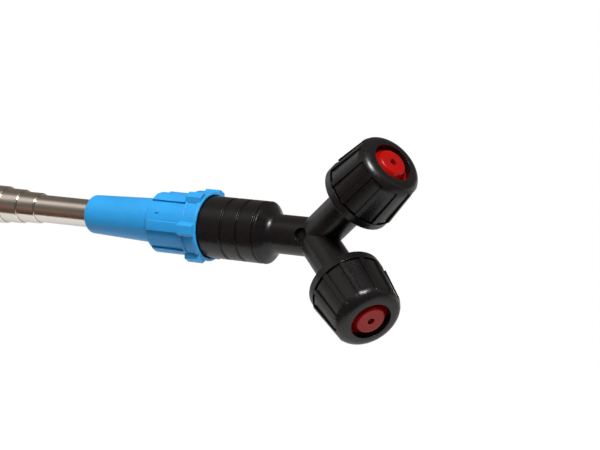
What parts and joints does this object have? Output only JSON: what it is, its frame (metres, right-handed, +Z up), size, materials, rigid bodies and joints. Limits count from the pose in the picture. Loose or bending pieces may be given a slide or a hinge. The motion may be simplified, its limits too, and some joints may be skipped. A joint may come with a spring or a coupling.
{
  "type": "spray lance",
  "caption": "Telescopic stainless spray lance of a knapsack sprayer with screw unions and a forked head carrying two screw-capped nozzles.",
  "frame": {"origin": "centre of the sealing face of the inlet gasket inside the rear union nut", "axes": "+X along the lance towards the nozzles, +Z up across the two branches, -Y towards the side the branches lean to"},
  "size_m": [0.3509, 0.0341, 0.0602],
  "materials": {
    "polished_stainless": "drawn stainless tube, polished",
    "blue_polypropylene": "semi-gloss moulded polypropylene, sky blue",
    "black_moulding": "semi-gloss black moulded nylon",
    "red_nozzle": "semi-gloss red acetal",
    "seal_rubber": "nitrile rubber",
    "natural_acetal": "natural white acetal",
    "strainer_gauze": "fine nylon gauze"
  },
  "bodies": {
    "outer_stage": {"outer_tube": "polished_stainless", "rear_ferrule": "blue_polypropylene", "rear_gasket": "seal_rubber"},
    "rear_ring": {"rear_slip_ring": "natural_acetal"},
    "rear_hand_nut": {"rear_nut": "blue_polypropylene"},
    "third_stage": {"third_tube": "polished_stainless", "third_seal_carrier": "natural_acetal", "third_seal_ring": "seal_rubber"},
    "second_stage": {"second_tube": "polished_stainless", "second_seal_carrier": "natural_acetal", "second_seal_ring": "seal_rubber"},
    "inner_stage": {"inner_tube": "polished_stainless", "inner_seal_carrier": "natural_acetal", "inner_seal_ring": "seal_rubber", "front_ferrule": "blue_polypropylene", "front_gasket": "seal_rubber"},
    "head": {"y_body": "black_moulding", "strainer_frame": "natural_acetal", "strainer_mesh": "strainer_gauze"},
    "front_ring": {"front_slip_ring": "natural_acetal"},
    "front_hand_nut": {"front_nut": "blue_polypropylene"},
    "upper_nozzle": {"upper_nozzle_tip": "red_nozzle", "upper_swirl_core": "natural_acetal", "upper_nozzle_gasket": "seal_rubber"},
    "upper_screw_cap": {"upper_cap": "black_moulding"},
    "lower_nozzle": {"lower_nozzle_tip": "red_nozzle", "lower_swirl_core": "natural_acetal", "lower_nozzle_gasket": "seal_rubber"},
    "lower_screw_cap": {"lower_cap": "black_moulding"}
  },
  "joints": [
    {"name": "third_tube_slide", "type": "slide", "parent": "outer_stage", "child": "third_stage", "axis": [1, 0, 0], "range_m": [0, 0.105]},
    {"name": "second_tube_slide", "type": "slide", "parent": "third_stage", "child": "second_stage", "axis": [1, 0, 0], "range_m": [0, 0.105]},
    {"name": "inner_tube_slide", "type": "slide", "parent": "second_stage", "child": "inner_stage", "axis": [1, 0, 0], "range_m": [0, 0.105]},
    {"name": "head_swivel", "type": "hinge", "parent": "inner_stage", "child": "head", "pos_m": [0.2518, 0, 0], "axis": [1, 0, 0], "continuous": true},
    {"name": "front_nut_travel", "type": "slide", "parent": "head", "child": "front_ring", "axis": [-1, 0, 0], "range_m": [0, 0.012]},
    {"name": "front_nut_turn", "type": "hinge", "parent": "front_ring", "child": "front_hand_nut", "pos_m": [0.2518, 0, 0], "axis": [-1, 0, 0], "range_deg": [0, 2160]},
    {"name": "rear_nut_travel", "type": "slide", "parent": "outer_stage", "child": "rear_ring", "axis": [1, 0, 0], "range_m": [0, 0.012]},
    {"name": "rear_nut_turn", "type": "hinge", "parent": "rear_ring", "child": "rear_hand_nut", "pos_m": [0, 0, 0], "axis": [1, 0, 0], "range_deg": [0, 2160]},
    {"name": "upper_cap_travel", "type": "slide", "parent": "head", "child": "upper_nozzle", "axis": [0.7337, -0.3397, 0.5884], "range_m": [0, 0.012]},
    {"name": "upper_cap_turn", "type": "hinge", "parent": "upper_nozzle", "child": "upper_screw_cap", "pos_m": [0.32722, -0.01152, 0.01995], "axis": [0.7337, -0.3397, 0.5884], "range_deg": [0, 2160]},
    {"name": "lower_cap_travel", "type": "slide", "parent": "head", "child": "lower_nozzle", "axis": [0.7337, -0.3397, -0.5884], "range_m": [0, 0.012]},
    {"name": "lower_cap_turn", "type": "hinge", "parent": "lower_nozzle", "child": "lower_screw_cap", "pos_m": [0.32722, -0.01152, -0.01995], "axis": [0.7337, -0.3397, -0.5884], "range_deg": [0, 2160]}
  ],
  "couplings": [
    {"joint": "front_nut_turn", "follows": "front_nut_travel", "rad_per_m": 3141.6},
    {"joint": "rear_nut_turn", "follows": "rear_nut_travel", "rad_per_m": 3141.6},
    {"joint": "upper_cap_turn", "follows": "upper_cap_travel", "rad_per_m": 3141.6},
    {"joint": "lower_cap_turn", "follows": "lower_cap_travel", "rad_per_m": 3141.6}
  ]
}
